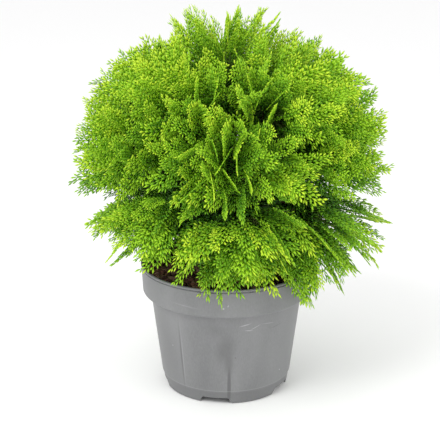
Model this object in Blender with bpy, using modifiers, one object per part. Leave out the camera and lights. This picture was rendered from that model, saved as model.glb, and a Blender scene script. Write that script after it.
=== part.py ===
"""A globe arborvitae in its nursery pot.

Metres, +Z up. The origin lies on the pot's axis, in the plane that the pot stands on, and the
plant's front faces -Y. Compass angles turn from the front towards +X.
"""

import math
import random

import bmesh
import bpy
from mathutils import Matrix, Quaternion, Vector

SEED = 7
GAP = 0.0003  # between pieces that touch in the real plant

# Pot: a turned plastic pot with a deep collar, a bead round its lip and a notched foot
ROUND_STEPS = 40
RIM_RADIUS = 0.095
RIM_HEIGHT = 0.142
LIP_BEAD = 0.0026
COLLAR_DEPTH = 0.033
COLLAR_TAPER = 0.0018
COLLAR_ROUND = 0.0035
LIP_ROUND = 0.0006
LIP_PROUD = 0.0003
SMALL_EDGE = 0.0004
STEP_UNDER_COLLAR = 0.0016
NECK_RADIUS = 0.0842
RIDGE_RADIUS = 0.0726
RIDGE_HEIGHT = 0.0155
RIDGE_STEP = 0.0007
RIDGE_STEP_HEIGHT = 0.0008
FOOT_RADIUS = 0.0690
WALL = 0.0018
CORNER_WIDTH = 0.002  # where the wall meets the floor inside
CORNER_RISE = 0.004
STEP_RISE = 0.001  # how far the inner face keeps above the step under the collar
FLOOR_HEIGHT = 0.0085
FOOT_WIDTH = 0.0030
FOOT_DRAFT = 0.001
PAD_RADIUS = 0.031
PAD_DRAFT = 0.002
NOTCHES = 5
NOTCH_START = -10  # degrees from the front
NOTCH_ANGLE = 30  # degrees at its foot
NOTCH_HEIGHT = 0.0068
NOTCH_SLOPE = 0.6  # how far its sides lean in for each metre up
NOTCH_LENGTH = 0.016
BELOW = 0.001  # how far a cutter starts below the foot
DRAIN_RADIUS = 0.0050
DRAIN_PLACE = 0.049
DRAIN_DEPTH = 0.008

# Soil: bark chips to just under the lip
SOIL_EDGE_HEIGHT = 0.1335
SOIL_HEIGHT = 0.1372
SOIL_FLAT_RADIUS = 0.022
SOIL_SHOULDER = 0.80  # as a share of its edge's radius
SOIL_SHOULDER_RISE = 0.0006

# Crown: its centre, and the half sizes of its outline, which is a rounded barrel
CROWN_CENTRE = Vector((0.003, 0.0, 0.262))
CROWN_HALF_WIDTH = 0.168
CROWN_HALF_TOP = 0.140
CROWN_HALF_BOTTOM = 0.142
CROWN_ROUNDNESS = 2.4

# Rings of foliage masses: the ring's angle above the crown's centre, and for each mass its
# compass angle and its reach as a share of the crown's outline
RINGS = {
    "upper": (42, ((-40, 1.00), (34, 1.03), (104, 1.00), (176, 0.97), (-112, 0.99))),
    "middle": (4, ((2, 0.98), (74, 1.02), (142, 0.98), (-142, 0.99), (-72, 0.99))),
    "lower": (-33, ((-56, 1.00), (8, 0.98), (68, 1.10), (138, 1.00), (-132, 1.00))),
}
TOP_REACH = 1.11
SIDES = ("front", "front_right", "right", "back_right", "back", "back_left", "left", "front_left")

# The bare inside of the crown, where only the trunk and the boughs run
HOLLOW = 0.048
STEM_CLEARANCE = 0.038
MASS_GAP = 0.0012

# Cores: the close growth inside each mass
CORE_PLACE = 0.57
CORE_HALF_WIDTH = 0.46
CORE_HALF_DEPTH = 0.26
CORE_MARGIN = 0.002
CORE_LUMPS = 0.14
CORE_SQUARENESS = 7  # higher fills the corners of the space more

# Sprays: flat toothed fans that stand out of the cores
SPRAY_COUNT = 215
SPRAY_WIDTH = 0.052
SPRAY_THICKNESS = 0.0014
SPRAY_SINK = 0.22  # how far from its core's middle a spray starts, as a share of the way out
LOWEST_SPRAY = -58  # degrees above the crown's centre
OPENING = (-88, -18)  # compass angles between which the soil can be seen
OPENING_LOWEST = -40
SPRAY_LIFT = 0.10
TIP_SPREAD = 0.08
SPRAY_TURN_SPREAD = 28  # degrees from upright
LOWER_TURN = 70  # degrees: the sprays of the lower ring lie flatter
TOP_NARROWING = 0.62
NARROWER = (1.0, 0.72, 0.48)  # the widths tried where there is little room
ABOVE_LIP = 0.003  # the room that sprays leave round the pot's lip
BESIDE_LIP = 0.005

# One fan, as shares of its length or its width
FIRST_TOOTH = 0.44
TOOTH_SPAN = 0.46
FAN_HALF_WIDTH = 0.50
FAN_TAPER = 0.6
TOOTH_STEP = 0.02
TOOTH_ROOT = 0.36
FAN_ROOT = 0.05

# Trunk: a short leaning stem with a flared foot
TRUNK_SIDES = 3  # bevel resolution
TRUNK_FOOT_RADIUS = 0.0105
TRUNK_RADIUS = 0.0064
TRUNK_TIP_RADIUS = 0.0026
FLARE_HEIGHT = 0.016
TRUNK_TIP = 0.044  # above the crown's centre
TRUNK_SWAY = 0.0025
TRUNK_STEPS = 7
FLARE_STEPS = (0.0, 0.003, 0.007, 0.013, 0.022)

# Boughs: where the lowest and highest of each ring leave the trunk, below the crown's centre
BOUGH_STARTS = {"upper": (-0.034, -0.012), "middle": (-0.068, -0.044), "lower": (-0.116, -0.096)}
BOUGH_RADIUS = 0.0030
BOUGH_TIP_RADIUS = 0.0019
BOUGH_END = 0.008
BOUGH_BEND_PLACE = 0.45
BOUGH_BEND_RISE = 0.010
BOUGH_STEPS = 5

POT_COLOUR = (0.235, 0.243, 0.255)
SOIL_COLOUR = (0.055, 0.026, 0.016)
BARK_COLOUR = (0.110, 0.062, 0.036)
FOLIAGE_COLOUR = (0.150, 0.330, 0.012)


def clear_scene():
    for obj in list(bpy.data.objects):
        bpy.data.objects.remove(obj, do_unlink=True)


def new_collection(name):
    found = bpy.data.collections.new(name)
    bpy.context.scene.collection.children.link(found)
    return found


def finish(obj, colour, roughness, metallic=0.0):
    """Gives the object a material of its own."""
    made = bpy.data.materials.new(obj.name + "_finish")
    made.use_nodes = True
    shader = made.node_tree.nodes["Principled BSDF"]
    shader.inputs["Base Color"].default_value = (*colour, 1.0)
    shader.inputs["Roughness"].default_value = roughness
    shader.inputs["Metallic"].default_value = metallic
    obj.data.materials.clear()
    obj.data.materials.append(made)


def compass(angle, height=0.0):
    """The unit vector at a compass angle and an angle above level, both in degrees."""
    turn = math.radians(angle)
    lift = math.radians(height)
    level = math.cos(lift)
    return Vector((level * math.sin(turn), -level * math.cos(turn), math.sin(lift)))


def turned(name, profile, group):
    """A solid turned from a profile of (radius, height) that runs down its outer side."""
    mesh = bpy.data.meshes.new(name)
    points = [(radius, 0.0, height) for radius, height in profile]
    mesh.from_pydata(points, [(i, i + 1) for i in range(len(points) - 1)], [])
    obj = bpy.data.objects.new(name, mesh)
    group.objects.link(obj)
    screw = obj.modifiers.new("Turn", "SCREW")
    screw.steps = ROUND_STEPS
    screw.render_steps = ROUND_STEPS
    screw.use_merge_vertices = True
    screw.merge_threshold = 0.0001
    screw.use_smooth_shade = True
    return obj


def made_solid(curve_object, group):
    """A closed mesh object in place of a curve object, with its caps welded on."""
    graph = bpy.context.evaluated_depsgraph_get()
    mesh = bpy.data.meshes.new_from_object(curve_object.evaluated_get(graph))
    shape = bmesh.new()
    shape.from_mesh(mesh)
    bmesh.ops.remove_doubles(shape, verts=shape.verts, dist=0.00001)
    bmesh.ops.recalc_face_normals(shape, faces=shape.faces)
    shape.to_mesh(mesh)
    shape.free()
    name = curve_object.name
    place = curve_object.matrix_world.copy()
    bpy.data.objects.remove(curve_object, do_unlink=True)
    obj = bpy.data.objects.new(name, mesh)
    obj.matrix_world = place
    group.objects.link(obj)
    return obj


def tube(name, points, radii, group, resolution=2):
    """A round limb along the points, with a radius at each."""
    curve = bpy.data.curves.new(name, "CURVE")
    curve.dimensions = "3D"
    curve.bevel_depth = 1.0
    curve.bevel_resolution = resolution
    curve.use_fill_caps = True
    spline = curve.splines.new("POLY")
    spline.points.add(len(points) - 1)
    for knot, point, radius in zip(spline.points, points, radii):
        knot.co = (*point, 1.0)
        knot.radius = radius
    obj = bpy.data.objects.new(name, curve)
    group.objects.link(obj)
    bpy.context.view_layer.update()
    return made_solid(obj, group)


def flat_solid(name, outline, thickness, group):
    """A flat outline in the XY plane, made solid to both sides of it."""
    curve = bpy.data.curves.new(name, "CURVE")
    curve.dimensions = "2D"
    curve.fill_mode = "BOTH"
    curve.extrude = thickness / 2
    spline = curve.splines.new("POLY")
    spline.points.add(len(outline) - 1)
    for knot, (x, y) in zip(spline.points, outline):
        knot.co = (x, y, 0.0, 1.0)
    spline.use_cyclic_u = True
    obj = bpy.data.objects.new(name, curve)
    group.objects.link(obj)
    bpy.context.view_layer.update()
    return made_solid(obj, group)


def baked(obj):
    """Applies the object's modifiers to its mesh."""
    graph = bpy.context.evaluated_depsgraph_get()
    mesh = bpy.data.meshes.new_from_object(obj.evaluated_get(graph))
    obj.modifiers.clear()
    obj.data = mesh


def pot_inside():
    """The pot's inner face from the middle of its floor up to its lip."""
    floor = FLOOR_HEIGHT + WALL
    collar_foot = RIM_HEIGHT - COLLAR_DEPTH
    slope = (NECK_RADIUS - RIDGE_RADIUS) / (collar_foot - RIDGE_HEIGHT)
    return [
        (0.0, floor),
        (RIDGE_RADIUS - WALL - CORNER_WIDTH, floor),
        (RIDGE_RADIUS - WALL + slope * CORNER_RISE, RIDGE_HEIGHT + CORNER_RISE),
        (NECK_RADIUS - WALL, collar_foot + STEP_RISE),
        (RIM_RADIUS - COLLAR_TAPER - WALL, collar_foot + COLLAR_ROUND + STEP_RISE),
        (RIM_RADIUS - LIP_BEAD, RIM_HEIGHT - LIP_BEAD),
    ]


def pot_outside():
    """The pot's lip, its outer face from top to foot, and its underside in to the middle."""
    collar_foot = RIM_HEIGHT - COLLAR_DEPTH
    collar_radius = RIM_RADIUS - COLLAR_TAPER
    lip_foot = RIM_HEIGHT - LIP_BEAD
    turn_in = [
        (
            collar_radius - COLLAR_ROUND * (1 - math.cos(math.radians(angle))),
            collar_foot + COLLAR_ROUND * (1 - math.sin(math.radians(angle))),
        )
        for angle in (0, 35, 70)
    ]
    foot_inside = FOOT_RADIUS - FOOT_WIDTH
    return [
        (RIM_RADIUS - LIP_BEAD, RIM_HEIGHT - SMALL_EDGE),
        (RIM_RADIUS - LIP_BEAD / 2, RIM_HEIGHT),
        (RIM_RADIUS + LIP_PROUD, RIM_HEIGHT - LIP_ROUND),
        (RIM_RADIUS + LIP_PROUD, lip_foot + SMALL_EDGE),
        (RIM_RADIUS - LIP_ROUND, lip_foot),
        *turn_in,
        (NECK_RADIUS + LIP_ROUND, collar_foot - SMALL_EDGE),
        (NECK_RADIUS, collar_foot - STEP_UNDER_COLLAR),
        (RIDGE_RADIUS, RIDGE_HEIGHT),
        (RIDGE_RADIUS - RIDGE_STEP, RIDGE_HEIGHT - RIDGE_STEP_HEIGHT),
        (FOOT_RADIUS, 0.0),
        (foot_inside, 0.0),
        (foot_inside - FOOT_DRAFT, FLOOR_HEIGHT),
        (PAD_RADIUS + PAD_DRAFT, FLOOR_HEIGHT),
        (PAD_RADIUS, 0.0),
        (0.0, 0.0),
    ]


def notch_cutter(angle, group):
    """A wedge that takes one sloping-sided notch out of the foot."""
    half_foot = FOOT_RADIUS * math.radians(NOTCH_ANGLE / 2)
    half_top = half_foot - NOTCH_HEIGHT * NOTCH_SLOPE
    half_below = half_foot + BELOW * NOTCH_SLOPE
    outline = [
        (-half_below, -BELOW),
        (half_below, -BELOW),
        (half_top, NOTCH_HEIGHT),
        (-half_top, NOTCH_HEIGHT),
    ]
    cutter = flat_solid("notch_cutter", outline, NOTCH_LENGTH, group)
    out = compass(angle)
    across = Vector((0, 0, 1)).cross(out)
    frame = Matrix((across, Vector((0, 0, 1)), across.cross(Vector((0, 0, 1))))).transposed()
    cutter.matrix_world = Matrix.Translation(out * FOOT_RADIUS) @ frame.to_4x4()
    return cutter


def drain_cutter(angle, group):
    """A short cylinder that takes one drain hole out of the floor."""
    shape = bmesh.new()
    bmesh.ops.create_cone(
        shape, cap_ends=True, segments=12, radius1=DRAIN_RADIUS, radius2=DRAIN_RADIUS, depth=DRAIN_DEPTH
    )
    mesh = bpy.data.meshes.new("drain_cutter")
    shape.to_mesh(mesh)
    shape.free()
    cutter = bpy.data.objects.new("drain_cutter", mesh)
    cutter.location = compass(angle) * DRAIN_PLACE + Vector((0, 0, FLOOR_HEIGHT + WALL / 2))
    group.objects.link(cutter)
    return cutter


def cut(obj, cutters):
    """Takes a collection of cutters out of the object and leaves them as guides."""
    for cutter in cutters.objects:
        cutter.hide_render = True
        cutter.display_type = "WIRE"
    boolean = obj.modifiers.new("Cut", "BOOLEAN")
    boolean.operation = "DIFFERENCE"
    boolean.operand_type = "COLLECTION"
    boolean.collection = cutters
    boolean.solver = "EXACT"


def make_pot(parts, cutters):
    pot = turned("pot", pot_inside() + pot_outside(), parts)
    for step in range(NOTCHES):
        angle = NOTCH_START + step * 360 / NOTCHES
        notch_cutter(angle, cutters)
        drain_cutter(angle + 180 / NOTCHES, cutters)
    cut(pot, cutters)
    finish(pot, POT_COLOUR, 0.5)


def make_soil(parts):
    """Everything the pot is filled with, up to the mulch, just clear of the pot's inner face."""
    wall = pot_inside()
    (_, floor), (corner_radius, _), (low_radius, low_height), neck, collar, lip = wall
    share = (SOIL_EDGE_HEIGHT - collar[1]) / (lip[1] - collar[1])
    edge_radius = collar[0] + share * (lip[0] - collar[0])
    profile = [
        (0.0, SOIL_HEIGHT),
        (SOIL_FLAT_RADIUS, SOIL_HEIGHT),
        (edge_radius * SOIL_SHOULDER, SOIL_EDGE_HEIGHT + SOIL_SHOULDER_RISE),
        (edge_radius - GAP, SOIL_EDGE_HEIGHT),
        (collar[0] - GAP, collar[1] + GAP),
        (neck[0] - GAP, neck[1] + GAP),
        (low_radius - GAP, low_height),
        (corner_radius - GAP, floor + GAP),
        (0.0, floor + GAP),
    ]
    soil = turned("soil", profile, parts)
    finish(soil, SOIL_COLOUR, 0.95)


def crown_reach(way):
    """How far the crown's outline lies from its centre in a direction."""
    level = math.hypot(way.x, way.y)
    half_height = CROWN_HALF_TOP if way.z > 0 else CROWN_HALF_BOTTOM
    wide = (level / CROWN_HALF_WIDTH) ** CROWN_ROUNDNESS
    high = (abs(way.z) / half_height) ** CROWN_ROUNDNESS
    return (wide + high) ** (-1 / CROWN_ROUNDNESS)


class Mass:
    """One mass of foliage: its name, its ring, the way it lies from the centre and its reach."""

    def __init__(self, ring, angle, height, share):
        self.ring = ring
        self.angle = angle
        self.share = share
        self.way = compass(angle, height)
        side = SIDES[round(angle / 45) % 8]
        self.name = ring if ring == "top" else f"{ring}_{side}"
        self.middle = CROWN_CENTRE + self.way * CORE_PLACE * crown_reach(self.way) * share


def crown_masses():
    masses = [Mass("top", 0, 90, TOP_REACH)]
    for ring, (height, places) in RINGS.items():
        masses += [Mass(ring, angle, height, share) for angle, share in places]
    return masses


def own_space(mass, masses):
    """The planes round a mass's space, each as a point and a normal that points into it."""
    planes = [(CROWN_CENTRE + mass.way * HOLLOW, mass.way)]
    if mass.ring == "lower":
        level = compass(mass.angle)
        planes.append((CROWN_CENTRE + level * STEM_CLEARANCE, level))
    for other in masses:
        if other is not mass:
            away = (mass.way - other.way).normalized()
            planes.append((CROWN_CENTRE + away * MASS_GAP / 2, away))
    return planes


def inside(point, planes, margin):
    return all((point - at).dot(normal) > margin for at, normal in planes)


def clear_of_pot(point):
    """Whether a point lies a little above the pot's lip, or a little outside it."""
    level = math.hypot(point.x, point.y)
    return point.z > RIM_HEIGHT + ABOVE_LIP or level > RIM_RADIUS + BESIDE_LIP


def make_core(mass, planes, draw, group):
    """A lumpy ball that fills the middle of a mass's space and is rounded off at its walls."""
    shape = bmesh.new()
    bmesh.ops.create_icosphere(shape, subdivisions=2, radius=1.0)
    turn = mass.way.to_track_quat("Z", "Y")
    reach = crown_reach(mass.way) * mass.share
    half = Vector((CORE_HALF_WIDTH, CORE_HALF_WIDTH, CORE_HALF_DEPTH)) * reach
    for vert in shape.verts:
        local = vert.co.normalized()
        way = turn @ local
        ball = Vector((local.x / half.x, local.y / half.y, local.z / half.z)).length
        blocks = ball**CORE_SQUARENESS
        for at, normal in planes:
            closing = -way.dot(normal)
            if closing > 0:
                room = (mass.middle - at).dot(normal) - CORE_MARGIN
                blocks += (closing / room) ** CORE_SQUARENESS
        far = blocks ** (-1 / CORE_SQUARENESS) * (1 - CORE_LUMPS * draw.random())
        vert.co = mass.middle + way * far
    mesh = bpy.data.meshes.new("foliage_" + mass.name)
    shape.to_mesh(mesh)
    shape.free()
    core = bpy.data.objects.new("foliage_" + mass.name, mesh)
    group.objects.link(core)
    return core


def fan_outline(teeth, stagger):
    """A toothed fan one long and one wide, with its root at the origin and its tip along X.

    Its side teeth alternate, those of one side a little further out than the other's.
    """

    def edge(side, shift):
        points = []
        for tooth in range(teeth):
            share = (tooth + 1) / (teeth + 1)
            out = FIRST_TOOTH + TOOTH_SPAN * share + shift
            wide = FAN_HALF_WIDTH * (1.12 - share) ** FAN_TAPER
            points.append((out, side * wide))
            points.append((out + TOOTH_STEP, side * wide * TOOTH_ROOT))
        return points

    right = [(0.0, FAN_ROOT), *edge(1, stagger)]
    left = [(0.0, -FAN_ROOT), *edge(-1, -stagger)]
    return right + [(1.0, 0.0)] + left[::-1]


def spray_ways():
    """Directions spread evenly over the crown by the golden angle, from its top down."""
    golden = math.pi * (3 - math.sqrt(5))
    for step in range(SPRAY_COUNT):
        rise = 1 - (2 * step + 1) / SPRAY_COUNT
        level = math.sqrt(1 - rise * rise)
        yield Vector((level * math.cos(step * golden), level * math.sin(step * golden), rise))


def wanted(way):
    """Whether sprays grow this way: none under the crown, and few where the soil shows."""
    height = math.degrees(math.asin(way.z))
    angle = math.degrees(math.atan2(way.x, -way.y))
    lowest = OPENING_LOWEST if OPENING[0] < angle < OPENING[1] else LOWEST_SPRAY
    return height > lowest


def spray_frame(mass, way, draw):
    """The root, the axis and the side of one spray, with the axis as long as the spray."""
    reach = crown_reach(way) * mass.share
    far = reach * (1 - TIP_SPREAD * draw.random())
    tip = CROWN_CENTRE + way * far
    if way.z > -0.3:
        tip.z += SPRAY_LIFT * far * (1 - abs(way.z))
        tip = CROWN_CENTRE + (tip - CROWN_CENTRE).normalized() * far
    root = mass.middle + (tip - mass.middle) * SPRAY_SINK
    along = tip - root
    upright = Vector((0, 0, 1)) if abs(way.z) < 0.8 else compass(draw.uniform(-180, 180))
    turn = draw.gauss(0, SPRAY_TURN_SPREAD)
    if mass.ring == "lower":
        turn += LOWER_TURN
    side = upright - along * (upright.dot(along) / along.length_squared)
    side = Quaternion(along.normalized(), math.radians(turn)) @ side.normalized()
    return root, along, side


def spray_matrix(root, along, side, width):
    across = along.normalized().cross(side)
    columns = (along, side * width, across * SPRAY_THICKNESS)
    frame = Matrix([(columns[0][i], columns[1][i], columns[2][i], root[i]) for i in range(3)])
    frame.resize_4x4()
    return frame


def fits(frame, outline, planes):
    """Whether the whole spray lies in its mass's space and clear of the pot."""
    ends = [frame @ Vector((x, y, 0)) for x, y in outline]
    for start, stop in zip(ends, ends[1:] + ends[:1]):
        for share in (0, 0.33, 0.67):
            point = start.lerp(stop, share)
            if not inside(point, planes, SPRAY_THICKNESS / 2 + GAP) or not clear_of_pot(point):
                return False
    return True


def make_sprays(mass, ways, planes, fans, draw, group):
    """Places a spray for each direction, made narrower or left out where it has no room."""
    for way in ways:
        root, along, side = spray_frame(mass, way, draw)
        outline, fan = draw.choice(fans)
        width = SPRAY_WIDTH * draw.uniform(0.85, 1.15) * (TOP_NARROWING if way.z > 0.9 else 1.0)
        for narrower in NARROWER:
            frame = spray_matrix(root, along, side, width * narrower)
            if fits(frame, outline, planes):
                spray = bpy.data.objects.new("spray", fan.data)
                spray.matrix_world = frame
                group.objects.link(spray)
                break


def keep_largest_body(mesh):
    """Drops loose scraps and the walls of sealed hollows, which leaves one closed body."""
    shape = bmesh.new()
    shape.from_mesh(mesh)
    left = set(shape.faces)
    bodies = []
    while left:
        body = []
        waiting = [left.pop()]
        while waiting:
            face = waiting.pop()
            body.append(face)
            for edge in face.edges:
                for near in edge.link_faces:
                    if near in left:
                        left.remove(near)
                        waiting.append(near)
        bodies.append(body)
    bodies.sort(key=len)
    scraps = [face for body in bodies[:-1] for face in body]
    bmesh.ops.delete(shape, geom=scraps, context="FACES")
    bmesh.ops.triangulate(shape, faces=shape.faces)
    shape.to_mesh(mesh)
    shape.free()


def fuse(obj, pieces):
    """Joins a collection of solids to the object and removes them."""
    boolean = obj.modifiers.new("Join", "BOOLEAN")
    boolean.operation = "UNION"
    boolean.operand_type = "COLLECTION"
    boolean.collection = pieces
    boolean.solver = "EXACT"
    baked(obj)
    for piece in list(pieces.objects):
        bpy.data.objects.remove(piece, do_unlink=True)
    bpy.data.collections.remove(pieces)
    keep_largest_body(obj.data)


def trunk_axis(height):
    """The middle of the trunk at a height: upright at its foot, then leaning to the right."""
    rise = (height - SOIL_HEIGHT) / (CROWN_CENTRE.z + TRUNK_TIP - SOIL_HEIGHT)
    sway = TRUNK_SWAY * math.sin(2 * math.pi * rise)
    lean = rise * rise * (3 - 2 * rise)
    return Vector((CROWN_CENTRE.x * lean + sway, CROWN_CENTRE.y * lean - sway, height))


def trunk_radius(height):
    above = height - SOIL_HEIGHT
    whole = CROWN_CENTRE.z + TRUNK_TIP - SOIL_HEIGHT
    taper = TRUNK_RADIUS + (TRUNK_TIP_RADIUS - TRUNK_RADIUS) * above / whole
    flare = (TRUNK_FOOT_RADIUS - TRUNK_RADIUS) * max(0.0, 1 - above / FLARE_HEIGHT) ** 2
    return taper + flare


def make_trunk(name, extra, group):
    """The trunk from its flat cut on the soil to its tip, thicker all round by an extra."""
    foot = SOIL_HEIGHT + GAP
    tip = CROWN_CENTRE.z + TRUNK_TIP
    heights = [foot + step for step in FLARE_STEPS]
    start = heights[-1]
    heights += [start + (tip - start) * (step + 1) / TRUNK_STEPS for step in range(TRUNK_STEPS)]
    points = [trunk_axis(height) for height in heights]
    points[1].xy = points[0].xy
    points[-2].xy = points[-1].xy
    radii = [trunk_radius(height) + extra for height in heights]
    trunk = tube(name, points, radii, group, TRUNK_SIDES)
    finish(trunk, BARK_COLOUR, 0.85)
    return trunk


def bough_route(mass, start_height):
    """The points of a bough from inside the trunk to where it enters its mass."""
    start = trunk_axis(start_height)
    entry = CROWN_CENTRE + mass.way * HOLLOW
    if mass.ring == "lower":
        level = math.hypot(mass.way.x, mass.way.y)
        entry = CROWN_CENTRE + mass.way * (STEM_CLEARANCE + 0.003) / level
    aim = (mass.middle - entry).normalized()
    neck = entry - aim * BOUGH_END
    bend = start.lerp(neck, BOUGH_BEND_PLACE) + Vector((0, 0, BOUGH_BEND_RISE))
    route = []
    for step in range(BOUGH_STEPS):
        share = step / (BOUGH_STEPS - 1)
        route.append(start.lerp(bend, share).lerp(bend.lerp(neck, share), share))
    return route + [entry], aim


def make_bough(mass, start_height, around_trunk, parts):
    route, _ = bough_route(mass, start_height)
    count = len(route) - 1
    radii = [BOUGH_RADIUS + (BOUGH_TIP_RADIUS - BOUGH_RADIUS) * i / count for i in range(count + 1)]
    bough = tube("bough_" + mass.name, route, radii, parts)
    boolean = bough.modifiers.new("Meet trunk", "BOOLEAN")
    boolean.operation = "DIFFERENCE"
    boolean.object = around_trunk
    boolean.solver = "EXACT"
    baked(bough)
    keep_largest_body(bough.data)
    finish(bough, BARK_COLOUR, 0.85)


def make_stem(mass, start_height, group):
    """The stem inside a mass, which goes on from the tip of its bough or of the trunk."""
    if mass.ring == "top":
        entry = trunk_axis(CROWN_CENTRE.z + TRUNK_TIP)
        aim = Vector((0, 0, 1))
        radius = TRUNK_TIP_RADIUS
    else:
        route, aim = bough_route(mass, start_height)
        entry = route[-1]
        radius = BOUGH_TIP_RADIUS
    start = entry + aim * GAP
    stop = mass.middle if mass.ring != "top" else start + aim * (mass.middle - start).length
    return tube("stem", [start, start.lerp(stop, 0.5), stop], [radius, radius, radius * 0.8], group)


def make_foliage(mass, masses, ways, start_height, fans, parts):
    draw = random.Random(f"{SEED} {mass.name}")
    planes = own_space(mass, masses)
    pieces = new_collection("pieces_" + mass.name)
    core = make_core(mass, planes, draw, parts)
    make_stem(mass, start_height, pieces)
    make_sprays(mass, ways, planes, fans, draw, pieces)
    fuse(core, pieces)
    shade = draw.uniform(0.85, 1.15)
    finish(core, tuple(channel * shade for channel in FOLIAGE_COLOUR), 0.6)


def bough_heights(masses):
    """Where each bough leaves the trunk, in steps round each ring."""
    heights = {}
    for ring, (low, high) in BOUGH_STARTS.items():
        members = [mass for mass in masses if mass.ring == ring]
        order = sorted(range(len(members)), key=lambda i: (i * 2) % len(members))
        for place, index in enumerate(order):
            share = place / (len(members) - 1)
            heights[members[index].name] = CROWN_CENTRE.z + low + (high - low) * share
    return heights


def make_crown(parts, guides):
    masses = crown_masses()
    heights = bough_heights(masses)
    grown = {mass.name: [] for mass in masses}
    for way in spray_ways():
        if wanted(way):
            nearest = max(masses, key=lambda mass: mass.way.dot(way))
            grown[nearest.name].append(way)
    fans = []
    for teeth, stagger in ((2, 0.03), (3, -0.02)):
        outline = fan_outline(teeth, stagger)
        fans.append((outline, flat_solid("fan", outline, 1.0, guides)))
    around_trunk = make_trunk("around_trunk", GAP, guides)
    for mass in masses:
        start = heights.get(mass.name)
        if start is not None:
            make_bough(mass, start, around_trunk, parts)
        make_foliage(mass, masses, grown[mass.name], start, fans, parts)
    for _, fan in fans:
        bpy.data.objects.remove(fan, do_unlink=True)
    bpy.data.objects.remove(around_trunk, do_unlink=True)
    make_trunk("trunk", 0.0, parts)


def main():
    clear_scene()
    parts = new_collection("globe_arborvitae")
    cutters = new_collection("cutters")
    guides = new_collection("guides")
    make_pot(parts, cutters)
    make_soil(parts)
    make_crown(parts, guides)
    bpy.data.collections.remove(guides)


main()
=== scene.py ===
import math

import bmesh
import bpy
import numpy as np
from mathutils import Matrix, Vector


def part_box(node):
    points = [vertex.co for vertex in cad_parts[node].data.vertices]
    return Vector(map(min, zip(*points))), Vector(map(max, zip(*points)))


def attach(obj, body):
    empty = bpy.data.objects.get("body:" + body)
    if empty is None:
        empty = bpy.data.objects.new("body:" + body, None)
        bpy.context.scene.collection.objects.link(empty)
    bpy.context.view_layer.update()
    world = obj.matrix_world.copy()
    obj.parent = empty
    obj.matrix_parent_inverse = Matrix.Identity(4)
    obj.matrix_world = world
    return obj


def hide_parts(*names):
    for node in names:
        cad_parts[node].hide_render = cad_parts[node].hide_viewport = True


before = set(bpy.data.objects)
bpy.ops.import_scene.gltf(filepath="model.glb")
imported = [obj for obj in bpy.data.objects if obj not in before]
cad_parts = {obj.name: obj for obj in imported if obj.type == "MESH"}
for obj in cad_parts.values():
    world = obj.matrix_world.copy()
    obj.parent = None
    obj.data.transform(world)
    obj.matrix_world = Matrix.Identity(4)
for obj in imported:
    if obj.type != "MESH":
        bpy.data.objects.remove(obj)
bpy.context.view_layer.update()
print("frame loaded:", len(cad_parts), "nodes")

photo = {
    "width": 440, "height": 430,  # pixels
    "camera": (-0.0069, -1.200, 0.5678), "pitch": 17.28,  # metres, degrees below level
    "focal": 1140.6, "sensor": 36.0,  # pixels, mm
}


# Helpers

def deselectAll():
    if bpy.context.mode != "OBJECT":
        bpy.ops.object.mode_set(mode="OBJECT")
    bpy.ops.object.select_all(action="DESELECT")


def makeActive(piece):
    deselectAll()
    bpy.context.view_layer.objects.active = piece
    piece.select_set(True)


def compass(angle, height=0.0):
    turn, lift = math.radians(angle), math.radians(height)  # 0 is the front, turning to the right
    return np.array((math.cos(lift) * math.sin(turn), -math.cos(lift) * math.cos(turn), math.sin(lift)))


def unit(vector):
    return vector / np.linalg.norm(vector)


def meshFromArrays(name, verts, faces, looks, lookOf=None):
    mesh = bpy.data.meshes.new(name)
    mesh.vertices.add(len(verts))
    mesh.vertices.foreach_set("co", np.ascontiguousarray(verts, np.float32).ravel())
    mesh.loops.add(faces.size)
    mesh.loops.foreach_set("vertex_index", np.ascontiguousarray(faces, np.int32).ravel())
    mesh.polygons.add(len(faces))
    mesh.polygons.foreach_set("loop_start", np.arange(0, faces.size, faces.shape[1], dtype=np.int32))
    if lookOf is not None:
        mesh.polygons.foreach_set("material_index", np.ascontiguousarray(lookOf, np.int32))
    mesh.update(calc_edges=True)
    mesh.validate()
    for look in looks:
        mesh.materials.append(look)
    piece = bpy.data.objects.new(name, mesh)
    bpy.context.scene.collection.objects.link(piece)
    return piece


# Materials

def newLook(name, colour, roughness, **sockets):
    look = bpy.data.materials.new(name)
    look.use_nodes = True
    shader = look.node_tree.nodes["Principled BSDF"]
    shader.inputs["Base Color"].default_value = (*colour, 1)
    shader.inputs["Roughness"].default_value = roughness
    for socket, value in sockets.items():
        shader.inputs[socket.replace("_", " ")].default_value = value
    return look, look.node_tree, shader


def newGroup(name, inputs, outputs):
    group = bpy.data.node_groups.new(name, "ShaderNodeTree")
    for title, kind, value in inputs:
        socket = group.interface.new_socket(title, in_out="INPUT", socket_type=kind)
        if value is not None:
            socket.default_value = value
    for title, kind in outputs:
        group.interface.new_socket(title, in_out="OUTPUT", socket_type=kind)
    return group, group.nodes.new("NodeGroupInput"), group.nodes.new("NodeGroupOutput")


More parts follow.
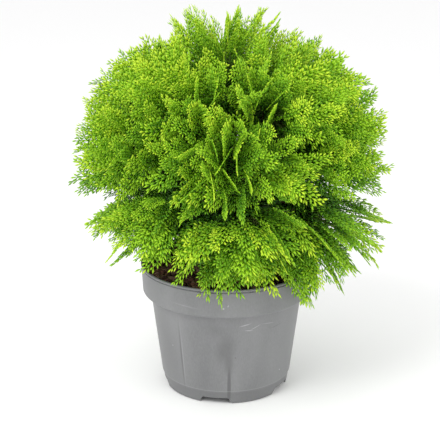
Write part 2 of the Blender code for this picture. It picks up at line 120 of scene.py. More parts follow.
def mottleGroup():  # soft patches and fine specks, as a colour and a mask
    floatKind, colourKind, vectorKind = "NodeSocketFloat", "NodeSocketColor", "NodeSocketVector"
    group, inside, outside = newGroup(
        "mottle",
        (("Vector", vectorKind, None),
         ("Dark", colourKind, (0, 0, 0, 1)), ("Light", colourKind, (1, 1, 1, 1)),
         ("Patch Scale", floatKind, 20.0), ("Speck Scale", floatKind, 400.0), ("Specks", floatKind, 0.3)),
        (("Color", colourKind), ("Mask", floatKind)))
    nodes, links = group.nodes, group.links
    patches = nodes.new("ShaderNodeTexNoise")
    specks = nodes.new("ShaderNodeTexNoise")
    patches.inputs["Detail"].default_value = 5
    for noise, title in ((patches, "Patch Scale"), (specks, "Speck Scale")):
        links.new(inside.outputs["Vector"], noise.inputs["Vector"])
        links.new(inside.outputs[title], noise.inputs["Scale"])
    blend = nodes.new("ShaderNodeMix")
    links.new(inside.outputs["Specks"], blend.inputs["Factor"])
    links.new(patches.outputs["Fac"], blend.inputs["A"])
    links.new(specks.outputs["Fac"], blend.inputs["B"])
    spread = nodes.new("ShaderNodeMapRange")
    spread.inputs["From Min"].default_value = 0.34
    spread.inputs["From Max"].default_value = 0.66
    links.new(blend.outputs["Result"], spread.inputs["Value"])
    colour = nodes.new("ShaderNodeMix")
    colour.data_type = "RGBA"
    links.new(spread.outputs["Result"], colour.inputs["Factor"])
    links.new(inside.outputs["Dark"], colour.inputs[6])
    links.new(inside.outputs["Light"], colour.inputs[7])
    links.new(colour.outputs[2], outside.inputs["Color"])
    links.new(spread.outputs["Result"], outside.inputs["Mask"])
    return group


mottle = mottleGroup()


def placeMottle(tree, dark, light, patchScale, speckScale, specks, stretch=(1, 1, 1)):
    coords = tree.nodes.new("ShaderNodeTexCoord")
    mapping = tree.nodes.new("ShaderNodeMapping")
    mapping.inputs["Scale"].default_value = stretch
    tree.links.new(coords.outputs["Object"], mapping.inputs["Vector"])
    made = tree.nodes.new("ShaderNodeGroup")
    made.node_tree = mottle
    tree.links.new(mapping.outputs["Vector"], made.inputs["Vector"])
    for title, value in (("Dark", (*dark, 1)), ("Light", (*light, 1)), ("Patch Scale", patchScale),
                         ("Speck Scale", speckScale), ("Specks", specks)):
        made.inputs[title].default_value = value
    return made


def addBump(tree, shader, mask, strength, depth):
    bump = tree.nodes.new("ShaderNodeBump")
    bump.inputs["Strength"].default_value = strength
    bump.inputs["Distance"].default_value = depth
    tree.links.new(mask, bump.inputs["Height"])
    tree.links.new(bump.outputs["Normal"], shader.inputs["Normal"])


# 1 inside an ellipsoid, fading to 0 over its soft edge
def spotMask(tree, centre, size, soft, turn=(0, 0, 0)):
    coords = tree.nodes.new("ShaderNodeTexCoord")
    mapping = tree.nodes.new("ShaderNodeMapping")
    mapping.vector_type = "TEXTURE"
    mapping.inputs["Location"].default_value = centre
    mapping.inputs["Rotation"].default_value = turn
    mapping.inputs["Scale"].default_value = size
    length = tree.nodes.new("ShaderNodeVectorMath")
    length.operation = "LENGTH"
    fade = tree.nodes.new("ShaderNodeMapRange")
    fade.inputs["From Min"].default_value = 1.0
    fade.inputs["From Max"].default_value = 1.0 - soft
    tree.links.new(coords.outputs["Object"], mapping.inputs["Vector"])
    tree.links.new(mapping.outputs["Vector"], length.inputs[0])
    tree.links.new(length.outputs["Value"], fade.inputs["Value"])
    return fade.outputs["Result"]


def tintWhere(tree, below, mask, colour, amount):
    scaled = tree.nodes.new("ShaderNodeMath")
    scaled.operation = "MULTIPLY"
    scaled.inputs[1].default_value = amount
    tree.links.new(mask, scaled.inputs[0])
    layer = tree.nodes.new("ShaderNodeMix")
    layer.data_type = "RGBA"
    layer.inputs[7].default_value = (*colour, 1)
    tree.links.new(scaled.outputs["Value"], layer.inputs["Factor"])
    tree.links.new(below, layer.inputs[6])
    return layer.outputs[2]


potLook = {
    "dark": (0.165, 0.167, 0.171), "light": (0.228, 0.230, 0.234), "roughness": 0.50,
    # the dark mark colour: painted shade in the crease, and darker patches elsewhere on the pot
    # the lightest line colour: a painted highlight beside the crease and along the ridge
    "stainAndShade": (0.112, 0.112, 0.114), "scuff": (0.46, 0.46, 0.47), "paintedHighlight": (0.36, 0.36, 0.37),
}


def potMaterial():
    look, tree, shader = newLook("greyPotPlastic", potLook["dark"], potLook["roughness"])
    base = placeMottle(tree, potLook["dark"], potLook["light"], 26, 900, 0.35, (1, 1, 0.35))
    colour = base.outputs["Color"]
    marks = (  # compass angle, radius, height, half sizes, tilt, soft share, colour, strength
        (-8, 0.081, 0.091, (0.019, 0.03, 0.013), 20, 0.9, "stainAndShade", 0.34),  # darker funnel, wide above
        (-1, 0.079, 0.068, (0.013, 0.03, 0.020), 12, 0.7, "stainAndShade", 0.50),
        (2, 0.076, 0.050, (0.006, 0.03, 0.018), 0, 0.7, "stainAndShade", 0.50),
        (2.3, 0.074, 0.020, (0.0024, 0.03, 0.030), 0, 0.4, "stainAndShade", 0.85),  # its run to the foot
        (-39, 0.078, 0.052, (0.0016, 0.02, 0.052), 0, 0.8, "stainAndShade", 0.75),  # painted shade in the crease
        # painted highlight beside the crease
        (-37.5, 0.078, 0.052, (0.0010, 0.02, 0.050), 0, 0.8, "paintedHighlight", 0.45),
        (-62, 0.078, 0.060, (0.030, 0.04, 0.050), 0, 0.6, "stainAndShade", 0.22),
        (14, 0.083, 0.097, (0.008, 0.02, 0.0007), -12, 0.8, "scuff", 0.8),
        (17, 0.083, 0.090, (0.006, 0.02, 0.0006), 8, 0.8, "scuff", 0.8),
        (22, 0.083, 0.093, (0.009, 0.02, 0.0006), -24, 0.8, "scuff", 0.6),
        (33, 0.083, 0.095, (0.010, 0.02, 0.0005), 6, 0.8, "scuff", 0.5),
        (41, 0.083, 0.089, (0.012, 0.02, 0.0006), -8, 0.8, "stainAndShade", 0.6),
        (-2, 0.095, 0.121, (0.0012, 0.01, 0.0012), 0, 0.5, "scuff", 0.9),
        (1, 0.095, 0.124, (0.0007, 0.01, 0.0016), 30, 0.5, "scuff", 0.8),
        (7, 0.080, 0.058, (0.0008, 0.01, 0.0008), 0, 0.4, "stainAndShade", 1.0),
        (-48, 0.078, 0.062, (0.0007, 0.01, 0.0009), 0, 0.4, "scuff", 0.8),
        (52, 0.073, 0.030, (0.0010, 0.01, 0.0009), 0, 0.4, "scuff", 0.9),
        (-28, 0.094, 0.120, (0.02, 0.02, 0.0009), 4, 0.9, "scuff", 0.25),
        (120, 0.080, 0.070, (0.02, 0.02, 0.012), 10, 0.9, "scuff", 0.20),
        (150, 0.083, 0.095, (0.012, 0.03, 0.0008), 15, 0.9, "scuff", 0.50),
        (200, 0.078, 0.055, (0.02, 0.03, 0.030), 0, 0.8, "stainAndShade", 0.35),
        (250, 0.078, 0.060, (0.0012, 0.02, 0.050), 0, 0.8, "stainAndShade", 0.50),
    )
    for angle, radius, height, size, tilt, soft, kind, amount in marks:
        centre = compass(angle) * radius + (0, 0, height)
        mask = spotMask(tree, centre, size, soft, (0, math.radians(tilt), math.radians(angle)))
        colour = tintWhere(tree, colour, mask, potLook[kind], amount)
    # painted highlight along the ridge
    ridgeHighlight = spotMask(tree, (0, 0, pot["ridgeHeight"] + 0.0004), (0.2, 0.2, 0.0007), 0.9)
    colour = tintWhere(tree, colour, ridgeHighlight, potLook["paintedHighlight"], 0.6)
    band = spotMask(tree, (0, 0, 0), (0.2, 0.2, 0.016), 0.12)  # darker band from the foot up to the ridge
    colour = tintWhere(tree, colour, band, (0.130, 0.131, 0.134), 0.40)
    tree.links.new(colour, shader.inputs["Base Color"])
    rough = tree.nodes.new("ShaderNodeMapRange")
    rough.inputs["To Min"].default_value = 0.38
    rough.inputs["To Max"].default_value = 0.58
    tree.links.new(base.outputs["Mask"], rough.inputs["Value"])
    tree.links.new(rough.outputs["Result"], shader.inputs["Roughness"])
    addBump(tree, shader, base.outputs["Mask"], 0.12, 0.0004)
    return look


def barkMaterial():
    look, tree, shader = newLook("limbBark", (0.12, 0.07, 0.04), 0.85)
    base = placeMottle(tree, (0.060, 0.032, 0.020), (0.200, 0.120, 0.075), 300, 900, 0.3, (1, 1, 0.12))
    tree.links.new(base.outputs["Color"], shader.inputs["Base Color"])
    addBump(tree, shader, base.outputs["Mask"], 0.8, 0.0008)
    return look


def mulchMaterial(name, dark, light):
    look, tree, shader = newLook(name, dark, 0.9)
    base = placeMottle(tree, dark, light, 120, 1200, 0.35, (1, 1, 1))
    tree.links.new(base.outputs["Color"], shader.inputs["Base Color"])
    addBump(tree, shader, base.outputs["Mask"], 0.7, 0.0010)
    return look


# Pot: one circle drawn out ring by ring, up the inside, over the lip, down the outside and under

pot = {
    "rim": 0.095, "height": 0.142, "bead": 0.0026,
    "collar": 0.033, "collarTaper": 0.0018, "collarRound": 0.0035,
    "neck": 0.0842, "ridge": 0.0726, "ridgeHeight": 0.0155, "foot": 0.0690, "footWidth": 0.0030,
    "wall": 0.0018, "floor": 0.0085, "pad": 0.031, "sides": 160,
    "notches": 5, "notchStart": -10, "notchAngle": 30, "notchHeight": 0.0068,
    "notchSlope": 0.6, "notchLength": 0.016, "below": 0.001,
    "drain": 0.0050, "drainPlace": 0.049, "drainDepth": 0.008,
    "cornerWidth": 0.002, "cornerRise": 0.004, "stepRise": 0.001,
}


def potProfile():
    p = pot
    collarFoot = p["height"] - p["collar"]
    collarRadius = p["rim"] - p["collarTaper"]
    lipFoot = p["height"] - p["bead"]
    rings = [
        (p["ridge"] - p["wall"] - p["cornerWidth"], p["floor"] + p["wall"]),
        (p["ridge"] - p["wall"], p["ridgeHeight"] + p["cornerRise"]),
        (p["neck"] - p["wall"], collarFoot + p["stepRise"]),
        (collarRadius - p["wall"], collarFoot + p["collarRound"] + p["stepRise"]),
        (p["rim"] - p["bead"], lipFoot),
    ]
    for angle in (170, 130, 90, 50, 10, -30, -60):  # bead round the lip
        turn = math.radians(angle)
        rings.append((p["rim"] - p["bead"] / 2 + p["bead"] * 0.58 * math.cos(turn),
                      p["height"] - p["bead"] / 2 + p["bead"] / 2 * math.sin(turn)))
    rings += [(p["rim"] - 0.0016, lipFoot - 0.0002), (p["rim"] - 0.0016, lipFoot - 0.0008),
              (p["rim"] - 0.0006, lipFoot - 0.0016), (collarRadius, collarFoot + p["collarRound"])]
    for angle in (15, 30, 45, 60, 75):  # collar's rounded lower edge
        turn = math.radians(angle)
        rings.append((collarRadius - p["collarRound"] * (1 - math.cos(turn)),
                      collarFoot + p["collarRound"] * (1 - math.sin(turn))))
    rings += [
        (p["neck"] + 0.0006, collarFoot - 0.0003), (p["neck"], collarFoot - 0.0016),
        (p["ridge"] + 0.0002, p["ridgeHeight"] + 0.0006), (p["ridge"], p["ridgeHeight"]),
        (p["ridge"] - 0.0007, p["ridgeHeight"] - 0.0008),
        (p["foot"] + 0.0003, 0.0008), (p["foot"] - 0.0005, 0),
        (p["foot"] - p["footWidth"], 0), (p["foot"] - p["footWidth"] - 0.001, p["floor"]),
        (p["pad"] + 0.002, p["floor"]), (p["pad"], 0),
    ]
    return rings


def makePot():
    deselectAll()
    rings = potProfile()
    radius, height = rings[0]
    bpy.ops.mesh.primitive_circle_add(
        vertices=pot["sides"], radius=radius, fill_type="TRIFAN", location=(0, 0, height))
    piece = bpy.context.object
    piece.name = "nurseryPot"
    bpy.ops.object.transform_apply(location=True, rotation=False, scale=False)
    bpy.ops.object.mode_set(mode="EDIT")
    bpy.ops.mesh.select_all(action="SELECT")
    bpy.ops.mesh.region_to_loop()
    for nextRadius, nextHeight in rings[1:]:
        bpy.ops.mesh.extrude_region_move(TRANSFORM_OT_translate={"value": (0, 0, nextHeight - height)})
        share = nextRadius / radius
        bpy.ops.transform.resize(value=(share, share, 1), center_override=(0, 0, nextHeight))
        radius, height = nextRadius, nextHeight
    bpy.ops.mesh.edge_face_add()
    bpy.ops.mesh.select_all(action="SELECT")
    bpy.ops.mesh.normals_make_consistent(inside=False)
    bpy.ops.object.mode_set(mode="OBJECT")
    for step in range(pot["notches"]):
        angle = pot["notchStart"] + step * 360 / pot["notches"]
        cutAway(piece, notchTool(angle))
        cutAway(piece, drainTool(angle + 180 / pot["notches"]))
    makeActive(piece)
    bpy.ops.object.shade_smooth_by_angle(angle=math.radians(32))
    piece.data.materials.append(potMaterial())
    return piece


def notchTool(angle):
    deselectAll()
    half = pot["foot"] * math.radians(pot["notchAngle"] / 2)
    bpy.ops.mesh.primitive_cube_add(size=1, location=(0, 0, 0))
    tool = bpy.context.object
    for vert in tool.data.vertices:
        upper = vert.co.z > 0
        wide = half + pot["notchSlope"] * (-pot["notchHeight"] if upper else pot["below"])
        vert.co = (math.copysign(wide, vert.co.x),
                   -pot["foot"] + math.copysign(pot["notchLength"] / 2, vert.co.y),
                   pot["notchHeight"] if upper else -pot["below"])
    tool.data.transform(Matrix.Rotation(math.radians(angle), 4, "Z"))
    return tool


def drainTool(angle):
    deselectAll()
    place = compass(angle) * pot["drainPlace"]
    bpy.ops.mesh.primitive_cylinder_add(
        vertices=24, radius=pot["drain"], depth=pot["drainDepth"],
        location=(place[0], place[1], pot["floor"] + pot["wall"] / 2))
    return bpy.context.object


def cutAway(piece, tool):
    makeActive(piece)
    boolean = piece.modifiers.new("cut", "BOOLEAN")
    boolean.operation = "DIFFERENCE"
    boolean.object = tool
    bpy.ops.object.modifier_apply(modifier=boolean.name)
    bpy.data.objects.remove(tool, do_unlink=True)


potPiece = makePot()
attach(potPiece, "root")
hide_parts("pot")
print("pot made")


# Mulch: a rough bed under loose bark chips

mulch = {
    "edge": 0.1335, "middle": 0.1372, "radius": 0.0905, "rings": 26, "rough": 0.0011,
    "bottom": 0.105, "bottomRadius": 0.0805, "spread": 0.975, "stemRoom": 0.014,
    "chips": 1500, "chipLength": (0.004, 0.013), "chipWidth": 0.55, "chipThick": 0.30, "lift": 0.0012,
    "chipBevel": 0.16, "chipUneven": 0.30, "chipTilt": 0.35,
}


def mulchHeight(radius):
    share = np.clip(radius / mulch["radius"], 0, 1)
    return mulch["middle"] + (mulch["edge"] - mulch["middle"]) * share ** 2


def makeBed(draw):
    deselectAll()
    bottom = mulch["bottom"]
    bpy.ops.mesh.primitive_cylinder_add(
        vertices=120, radius=mulch["radius"], depth=mulch["edge"] - bottom,
        location=(0, 0, (mulch["edge"] + bottom) / 2))
    bed = bpy.context.object
    bed.name = "mulchBed"
    bpy.ops.object.transform_apply(location=True, rotation=False, scale=False)
    bpy.ops.object.mode_set(mode="EDIT")
    bpy.ops.mesh.select_all(action="DESELECT")
    shape = bmesh.from_edit_mesh(bed.data)
    for face in shape.faces:
        face.select_set(face.normal.z > 0.9)
    bmesh.update_edit_mesh(bed.data)
    for _ in range(mulch["rings"]):
        bpy.ops.mesh.inset(thickness=mulch["radius"] / (mulch["rings"] + 1))
    bpy.ops.object.mode_set(mode="OBJECT")
    taper = mulch["bottomRadius"] / mulch["radius"]
    for vert in bed.data.vertices:
        radius = math.hypot(vert.co.x, vert.co.y)
        if vert.co.z < bottom + 0.001:
            vert.co.x *= taper
            vert.co.y *= taper
        else:
            vert.co.z = mulchHeight(radius) + (draw.random() - 0.5) * mulch["rough"]
    bed.data.materials.append(mulchMaterial("mulchPeat", (0.016, 0.009, 0.006), (0.060, 0.034, 0.022)))
    return bed


def chipShape():
    deselectAll()
    bpy.ops.mesh.primitive_cube_add(size=1)
    chip = bpy.context.object
    bevel = chip.modifiers.new("worn", "BEVEL")
    bevel.width = mulch["chipBevel"]
    bevel.segments = 1
    bpy.ops.object.modifier_apply(modifier=bevel.name)
    triangulate = chip.modifiers.new("threes", "TRIANGULATE")
    bpy.ops.object.modifier_apply(modifier=triangulate.name)
    verts = np.array([vert.co[:] for vert in chip.data.vertices])
    faces = np.array([face.vertices[:] for face in chip.data.polygons])
    bpy.data.objects.remove(chip, do_unlink=True)
    return verts, faces


def makeChips(draw):
    verts, faces = chipShape()
    allVerts, allFaces, looks = [], [], []
    count = 0
    for _ in range(mulch["chips"]):
        radius = mulch["radius"] * mulch["spread"] * math.sqrt(draw.random())
        angle = draw.uniform(0, 2 * math.pi)
        long = draw.uniform(*mulch["chipLength"])
        if radius < mulch["stemRoom"] or radius + long * 0.45 > mulch["radius"]:
            continue
        size = np.array((long, long * mulch["chipWidth"] * draw.uniform(0.6, 1.2),
                         long * mulch["chipThick"] * draw.uniform(0.5, 1.2)))
        shaped = verts * (1 + mulch["chipUneven"] * (draw.random(verts.shape) - 0.5)) * size
        turn = Matrix.Rotation(draw.uniform(0, 2 * math.pi), 3, "Z")
        turn = turn @ Matrix.Rotation(draw.normal(0, mulch["chipTilt"]), 3, "Y")
        turn = turn @ Matrix.Rotation(draw.normal(0, mulch["chipTilt"]), 3, "X")
        place = (radius * math.cos(angle), radius * math.sin(angle),
                 mulchHeight(radius) + mulch["lift"] * draw.random())
        allVerts.append(shaped @ np.array(turn).T + place)
        allFaces.append(faces + count)
        count += len(verts)
        looks.append(np.full(len(faces), draw.integers(0, 3)))
    chipLooks = [
        mulchMaterial("chipDark", (0.030, 0.014, 0.009), (0.110, 0.050, 0.030)),
        mulchMaterial("chipRed", (0.090, 0.034, 0.019), (0.250, 0.110, 0.065)),
        mulchMaterial("chipTan", (0.130, 0.070, 0.046), (0.340, 0.210, 0.140)),
    ]
    return meshFromArrays("barkChips", np.concatenate(allVerts), np.concatenate(allFaces), chipLooks,
                          np.concatenate(looks))


mulchDraw = np.random.default_rng(11)
for piece in (makeBed(mulchDraw), makeChips(mulchDraw)):
    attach(piece, "root")
    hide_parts("soil")
print("mulch made")


# Limbs: the trunk and boughs again, close-meshed, with fibrous bark raised on them

limbs = {"voxel": 0.0006, "relief": 0.0007, "grain": 0.0016, "stretch": 6.0}


def makeLimbs():
    names = ["trunk"] + sorted(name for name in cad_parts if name.startswith("bough_"))
    for name in names:
        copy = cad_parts[name].copy()
        copy.data = copy.data.copy()
        copy.parent = None
        copy.data.materials.clear()
        for key in list(copy.keys()):
            del copy[key]
        copy.name = name + "Bark"
        bpy.context.scene.collection.objects.link(copy)
        makeActive(copy)
        bpy.ops.object.mode_set(mode="EDIT")
        bpy.ops.mesh.select_all(action="SELECT")
        bpy.ops.mesh.remove_doubles(threshold=0.00001)
        bpy.ops.object.mode_set(mode="OBJECT")
        remesh = copy.modifiers.new("close", "REMESH")
        remesh.mode = "VOXEL"
        remesh.voxel_size = limbs["voxel"]
        bpy.ops.object.modifier_apply(modifier=remesh.name)
        raiseBark(copy)
        bpy.ops.object.shade_smooth()
        copy.data.materials.append(bark)
        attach(copy, "root")
        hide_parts(name)


def raiseBark(piece):  # wandering ridges along the limb, with finer ones across them
    count = len(piece.data.vertices)
    places = np.empty(count * 3, np.float32)
    normals = np.empty(count * 3, np.float32)
    piece.data.vertices.foreach_get("co", places)
    piece.data.vertices.foreach_get("normal", normals)
    places, normals = places.reshape(-1, 3), normals.reshape(-1, 3)
    grain = 2 * math.pi / limbs["grain"]
    x, y, z = places[:, 0] * grain, places[:, 1] * grain, places[:, 2] * grain / limbs["stretch"]
    ridges = np.sin(x + 1.7 * np.sin(z)) * np.sin(y + 2.1 * np.sin(z * 0.7 + 1))
    waves = ridges + 0.5 * np.sin(2.3 * (x - y) + z)
    places = places + normals * (waves * 0.5 - 0.3)[:, None] * limbs["relief"] * 0.6
    piece.data.vertices.foreach_set("co", places.astype(np.float32).ravel())
    piece.data.update()


bark = barkMaterial()
makeLimbs()
print("limbs made")


# Foliage: flat scaly fans in the same masses and within the same outline as the solids

crown = {
    "centre": np.array((0.003, 0, 0.262)), "halfWidth": 0.168, "halfTop": 0.140, "halfBottom": 0.142,
    "roundness": 2.4, "topReach": 1.11, "corePlace": 0.57,
    "hollow": 0.048, "stemClearance": 0.038, "lowest": -58,
    "opening": (-88, -14), "openingLowest": -31, "seed": 7,
    "scatter": 0.035, "aimScatter": 0.010, "topNarrowing": 0.55, "cupScatter": 5,
    "rings": {
        "upper": (42, ((-40, 1.00), (34, 1.03), (104, 1.00), (176, 0.97), (-112, 0.99))),
        "middle": (4, ((2, 0.98), (74, 1.02), (142, 0.98), (-142, 0.99), (-72, 0.99))),
        "lower": (-33, ((-56, 1.00), (8, 0.98), (68, 1.10), (138, 1.00), (-132, 1.00))),
    },
    "sides": ("front", "front_right", "right", "back_right", "back", "back_left", "left", "front_left"),
}
# Reach is the nearest and furthest tip as shares of the outline, and spread an extra turn in degrees
# each shell's shade step is painted light and shade: the outer shells lighter, the inner shell darker
shells = (
    {"sprays": 820, "reach": (0.90, 1.00), "paintedDepthShade": 1.7, "size": 1.0, "spread": 0, "full": True},
    {"sprays": 460, "reach": (0.70, 0.88), "paintedDepthShade": 0.8, "size": 1.05, "spread": 20, "full": True},
    {"sprays": 620, "reach": (0.46, 0.70), "paintedDepthShade": -0.3, "size": 1.25, "spread": 90, "full": False},
)
fan = {
    "length": 0.062, "scale": 0.0062, "width": 0.0031, "thick": 0.0013, "firstShoot": 2,
    "shoot": 0.026, "shootAngle": 46, "turnIn": 6,
    "twiglet": 0.0062, "twigletAngle": 40, "pairedFrom": 0.012, "plans": 10,
}
scale = {  # one flat eight-faced scale, one long and one wide, widest past its middle
    "corners": np.array((
        (0, 0, 0), (0.62, 0.5, 0), (0.58, 0, 0.5), (0.62, -0.5, 0), (0.58, 0, -0.5), (1, 0, 0))),
    "faces": np.array((
        (0, 2, 1), (0, 3, 2), (0, 4, 3), (0, 1, 4), (5, 1, 2), (5, 2, 3), (5, 3, 4), (5, 4, 1))),
}
shade = {"height": 0.45, "sprays": 0.45, "age": 2.9, "scales": 0.25}  # what lightens a scale: painted light on sprays pointing up, random spread by spray and by scale, and young growth towards the tips
# tints from darkest to lightest, picked by painted light and shade as well as by young growth
tints = (
    ("foliageShade", (0.012, 0.050, 0.003)), ("foliageDeep", (0.030, 0.115, 0.004)),
    ("foliageMid", (0.075, 0.235, 0.006)), ("foliageFresh", (0.170, 0.400, 0.010)),
    ("foliageLime", (0.320, 0.590, 0.016)), ("foliageTipAndLit", (0.520, 0.740, 0.030)),
)


def crownReach(way):
    level = math.hypot(way[0], way[1])
    halfHeight = crown["halfTop"] if way[2] > 0 else crown["halfBottom"]
    wide = (level / crown["halfWidth"]) ** crown["roundness"]
    return (wide + (abs(way[2]) / halfHeight) ** crown["roundness"]) ** (-1 / crown["roundness"])


def crownMasses():
    masses = [{"name": "top", "ring": "top", "way": compass(0, 90), "share": crown["topReach"]}]
    for ring, (height, places) in crown["rings"].items():
        for angle, share in places:
            side = crown["sides"][round(angle / 45) % 8]
            masses.append({
                "name": f"{ring}_{side}", "ring": ring, "way": compass(angle, height), "share": share})
    for mass in masses:
        reach = crownReach(mass["way"]) * mass["share"]
        mass["middle"] = crown["centre"] + mass["way"] * crown["corePlace"] * reach
    return masses


# Each unit is a scale: start x, start y, heading, length, width, and age from 0 at the root to 1 at a tip
def fanPlan(draw, full):
    units = []
    steps = int(fan["length"] / fan["scale"])
    x = y = heading = 0.0
    for step in range(steps):
        share = step / steps
        heading += draw.normal(0, 0.05)
        width = fan["width"] * (1.1 - 0.35 * share)
        units.append((x, y, heading, fan["scale"] * 1.25, width, share * 0.8))
        x += fan["scale"] * math.cos(heading)
        y += fan["scale"] * math.sin(heading)
        if step < fan["firstShoot"]:
            continue
        for side in (1, -1):
            if draw.random() < 0.06:
                continue
            back = fan["scale"] * draw.uniform(0, 0.7)
            widening = min(1, (share + 0.12) * 2.6)
            growth = fan["shoot"] * (1.15 - share) ** 0.75 * widening * draw.uniform(0.75, 1.1)
            angle = fan["shootAngle"] * (1.1 - 0.35 * share) + draw.normal(0, 4)
            growSide(units, x - back * math.cos(heading), y - back * math.sin(heading),
                     heading + side * math.radians(angle), side, growth, share, full, draw)
    units.append((x, y, heading, fan["scale"] * 1.3, fan["width"] * 0.7, 1.0))
    return layScales(np.array(units))


def growSide(units, x, y, angle, side, growth, share, full, draw):
    steps = max(1, round(growth / fan["scale"]))
    for step in range(steps):
        along = (step + 1) / steps
        width = fan["width"] * (0.92 - 0.25 * along)
        units.append((x, y, angle, fan["scale"] * 1.25, width, 0.25 + 0.35 * share + 0.40 * along))
        x += fan["scale"] * math.cos(angle)
        y += fan["scale"] * math.sin(angle)
        angle -= side * math.radians(fan["turnIn"] + draw.normal(0, 2))
        if not full or step == steps - 1:
            continue
        for turn in ((side, -side) if step % 2 else (-side, side))[: 2 if growth > fan["pairedFrom"] else 1]:
            leaf = angle + turn * math.radians(fan["twigletAngle"] + draw.normal(0, 5))
            units.append((x, y, leaf, fan["twiglet"] * draw.uniform(0.8, 1.25), width * 0.85,
                          0.40 + 0.35 * share + 0.25 * along))


def layScales(units):
    x, y, heading, length, width, age = units.T[:, :, None]
    alongX, alongY = np.cos(heading), np.sin(heading)
    forward, across = scale["corners"][:, 0] * length, scale["corners"][:, 1] * width
    rise = np.broadcast_to(scale["corners"][:, 2] * fan["thick"], forward.shape)
    verts = np.stack((x + forward * alongX - across * alongY,
                      y + forward * alongY + across * alongX, rise), axis=2)
    return verts.reshape(-1, 3), age[:, 0]


def evenWays(count, turn):
    golden = math.pi * (3 - math.sqrt(5))
    for step in range(count):
        rise = 1 - (2 * step + 1) / count
        level = math.sqrt(1 - rise * rise)
        yield np.array((level * math.cos(step * golden + turn), level * math.sin(step * golden + turn), rise))


def wanted(way):
    height = math.degrees(math.asin(way[2]))
    angle = math.degrees(math.atan2(way[0], -way[1]))
    overSoil = crown["opening"][0] < angle < crown["opening"][1]
    return height > (crown["openingLowest"] if overSoil else crown["lowest"])


habits = {  # how each ring's sprays stand: lift of the tip, turn about their axis, spread of that turn, droop
    "top": {"lift": 0.25, "turn": 0, "spread": 60, "droop": 0.0},
    "upper": {"lift": 0.16, "turn": 0, "spread": 30, "droop": 0.6},
    "middle": {"lift": 0.14, "turn": 0, "spread": 26, "droop": 1.4},
    "lower": {"lift": -0.04, "turn": 68, "spread": 26, "droop": 2.6},
}


def sprayFrame(mass, way, nearest, furthest, spread, draw):
    habit = habits[mass["ring"]]
    far = crownReach(way) * mass["share"] * draw.uniform(nearest, furthest)
    tip = crown["centre"] + way * far
    tip[2] += habit["lift"] * far * (1 - abs(way[2]))
    tip = crown["centre"] + unit(tip - crown["centre"]) * far
    start = mass["middle"] * 0.55 + (crown["centre"] + way * 0.45 * far) * 0.45
    along = unit(tip - start + draw.normal(0, crown["aimScatter"], 3))
    upright = np.array((0, 0, 1.0)) if abs(way[2]) < 0.8 else compass(draw.uniform(-180, 180))
    side = unit(upright - along * (upright @ along))
    turn = math.radians(habit["turn"] + draw.normal(0, habit["spread"] + spread))
    side = side * math.cos(turn) + np.cross(along, side) * math.sin(turn)
    return tip, along, side, habit["droop"], start


def clearOfPot(places):
    level = np.hypot(places[:, 0], places[:, 1])
    return (places[:, 2] > pot["height"] + 0.001) | (level > pot["rim"] + 0.003)


def growSprays(masses):
    draw = np.random.default_rng(crown["seed"])
    plans = {full: [fanPlan(draw, full) for _ in range(fan["plans"])] for full in (True, False)}
    grown = {mass["name"]: [] for mass in masses}
    roots = []
    for number, shell in enumerate(shells):
        for way in evenWays(shell["sprays"], number * 1.3):
            way = unit(way + draw.normal(0, crown["scatter"], 3))
            if not wanted(way):
                continue
            mass = max(masses, key=lambda each: each["way"] @ way)
            placeSpray(grown, roots, mass, way, shell, plans[shell["full"]], draw)
    return grown, roots


def placeSpray(grown, roots, mass, way, shell, plans, draw):
    tip, along, side, droop, start = sprayFrame(mass, way, *shell["reach"], shell["spread"], draw)
    verts, age = plans[draw.integers(0, len(plans))]
    size = draw.uniform(0.82, 1.12) * shell["size"]
    wide = draw.uniform(0.80, 1.10) * (crown["topNarrowing"] if way[2] > 0.9 else 1.0) * draw.choice((-1, 1))
    forward, across, rise = verts[:, 0] * size, verts[:, 1] * size * wide, verts[:, 2]
    reach = fan["length"] * size
    bend = droop * draw.uniform(0.4, 1.6)
    cup = draw.normal(0, crown["cupScatter"])
    normal = np.cross(along, side) * math.copysign(1, wide)
    root = tip - along * reach
    places = root + forward[:, None] * along + across[:, None] * side
    places = places + (rise + cup * across ** 2)[:, None] * normal
    places[:, 2] -= bend * forward ** 2
    keep = clearOfPot(places).reshape(-1, 6).all(axis=1)
    # painted light and shade: outer shells and sprays pointing up lighter, inner shells darker; young growth
    # towards the tips is lighter in its own colour
    light = shell["paintedDepthShade"] + (shade["height"] * unit(tip - crown["centre"])[2] + draw.normal(0, shade["sprays"]))
    light = light + shade["age"] * age + draw.normal(0, shade["scales"], len(age))
    look = np.clip(np.round(light), 0, len(tints) - 1)
    grown[mass["name"]].append((places.reshape(-1, 6, 3)[keep], look[keep]))
    roots.append((mass, start, root + along * twigs["intoSpray"], shell["full"]))


def makeFoliage(masses, grown):
    looks = [newLook(name, colour, 0.48, Specular_IOR_Level=0.35)[0] for name, colour in tints]
    faces = scale["faces"]
    total = 0
    for mass in masses:
        scales = np.concatenate([places for places, _ in grown[mass["name"]]])
        look = np.concatenate([each for _, each in grown[mass["name"]]])
        allFaces = (faces[None] + 6 * np.arange(len(scales))[:, None, None]).reshape(-1, 3)
        piece = meshFromArrays(
            "sprays_" + mass["name"], scales.reshape(-1, 3), allFaces, looks, np.repeat(look, len(faces)))
        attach(piece, "root")
        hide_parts("foliage_" + mass["name"])
        total += len(allFaces)
    print("foliage made:", total, "triangles")


twigs = {  # radius at the start and at the end of each kind
    "stem": (0.0019, 0.0015), "branch": (0.0012, 0.0009), "shoot": (0.0009, 0.0006),
    "gap": 0.0004, "intoSpray": 0.012,
}


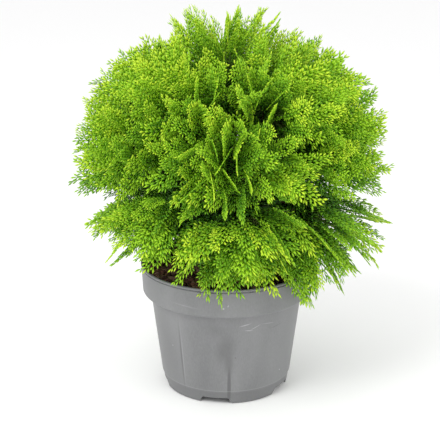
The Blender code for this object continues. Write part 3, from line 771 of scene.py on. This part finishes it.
# Three-sided twigs from each bough's tip to its mass's middle and on to the sprays
def makeTwigs(masses, roots):
    brown = newLook("twigBark", (0.105, 0.050, 0.024), 0.8)[0]
    green = newLook("twigGreen", (0.090, 0.130, 0.020), 0.7)[0]
    runs = []
    for mass in masses:
        if mass["ring"] == "top":
            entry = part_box("trunk")[1]
            entry = np.array((crown["centre"][0], crown["centre"][1], entry.z))
        elif mass["ring"] == "lower":
            level = math.hypot(mass["way"][0], mass["way"][1])
            entry = crown["centre"] + mass["way"] * (crown["stemClearance"] + 0.003) / level
        else:
            entry = crown["centre"] + mass["way"] * crown["hollow"]
        aim = unit(mass["middle"] - entry)
        runs.append((entry + aim * twigs["gap"], mass["middle"], *twigs["stem"], 0))
    for mass, start, stop, full in roots:
        hub = mass["middle"] * 0.6 + start * 0.4
        runs.append((mass["middle"], hub, *twigs["branch"], 0))
        runs.append((hub, stop, *twigs["shoot"], 1 if full else 0))
    verts, faces, looks = [], [], []
    for number, (start, stop, thick, thin, look) in enumerate(runs):
        along = stop - start
        if np.linalg.norm(along) < 1e-6:
            along = np.array((0, 0, 1e-4))
        along = unit(along)
        side = unit(np.cross(along, (0.31, 0.77, 0.55)))
        other = np.cross(along, side)
        for centre, radius in ((start, thick), (stop, thin)):
            for corner in range(3):
                turn = corner * 2 * math.pi / 3
                verts.append(centre + radius * (side * math.cos(turn) + other * math.sin(turn)))
        first = number * 6
        faces += [(first, first + 2, first + 1), (first + 3, first + 4, first + 5)]
        for corner in range(3):
            after = (corner + 1) % 3
            faces += [(first + corner, first + after, first + 3 + after),
                      (first + corner, first + 3 + after, first + 3 + corner)]
        looks += [look] * 8
    piece = meshFromArrays("twigs", np.array(verts), np.array(faces), [brown, green], np.array(looks))
    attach(piece, "root")


masses = crownMasses()
grown, roots = growSprays(masses)
makeFoliage(masses, grown)
makeTwigs(masses, roots)


# Floor, light and camera

studio = {
    "floor": (0.95, 0.95, 0.95), "sky": (1.0, 1.0, 1.0), "skyStrength": 1.0, "keyPower": 20, "fillPower": 5,
}


def makeStage():
    deselectAll()
    bpy.ops.mesh.primitive_plane_add(size=12, location=(0, 0, -0.0005))
    floor = bpy.context.object
    floor.name = "floor"
    floor.data.materials.append(newLook("paleFloor", studio["floor"], 0.9)[0])
    bpy.ops.object.transform_apply(location=True, rotation=False, scale=False)
    world = bpy.data.worlds.new("studioWorld")
    world.use_nodes = True
    background = world.node_tree.nodes["Background"]
    background.inputs["Color"].default_value = (*studio["sky"], 1)
    background.inputs["Strength"].default_value = studio["skyStrength"]
    bpy.context.scene.world = world
    for name, place, size, power in (
        ("keyLight", (-0.9, -1.1, 1.7), 0.9, studio["keyPower"]),
        ("fillLight", (1.3, -0.9, 1.0), 1.2, studio["fillPower"]),
    ):
        lamp = bpy.data.lights.new(name, "AREA")
        lamp.size = size
        lamp.energy = power
        holder = bpy.data.objects.new(name, lamp)
        holder.location = place
        aim = Vector((0, 0, 0.22)) - Vector(place)
        holder.rotation_euler = aim.to_track_quat("-Z", "Y").to_euler()
        bpy.context.scene.collection.objects.link(holder)


def makeCamera():
    lens = bpy.data.cameras.new("photoCamera")
    lens.sensor_width = photo["sensor"]
    lens.lens = photo["focal"] / photo["width"] * photo["sensor"]
    camera = bpy.data.objects.new("photoCamera", lens)
    camera.location = photo["camera"]
    camera.rotation_euler = (math.radians(90 - photo["pitch"]), 0, 0)
    bpy.context.scene.collection.objects.link(camera)
    bpy.context.scene.camera = camera


makeStage()
makeCamera()
bpy.context.scene.view_settings.view_transform = "Standard"
print("stage and camera made")
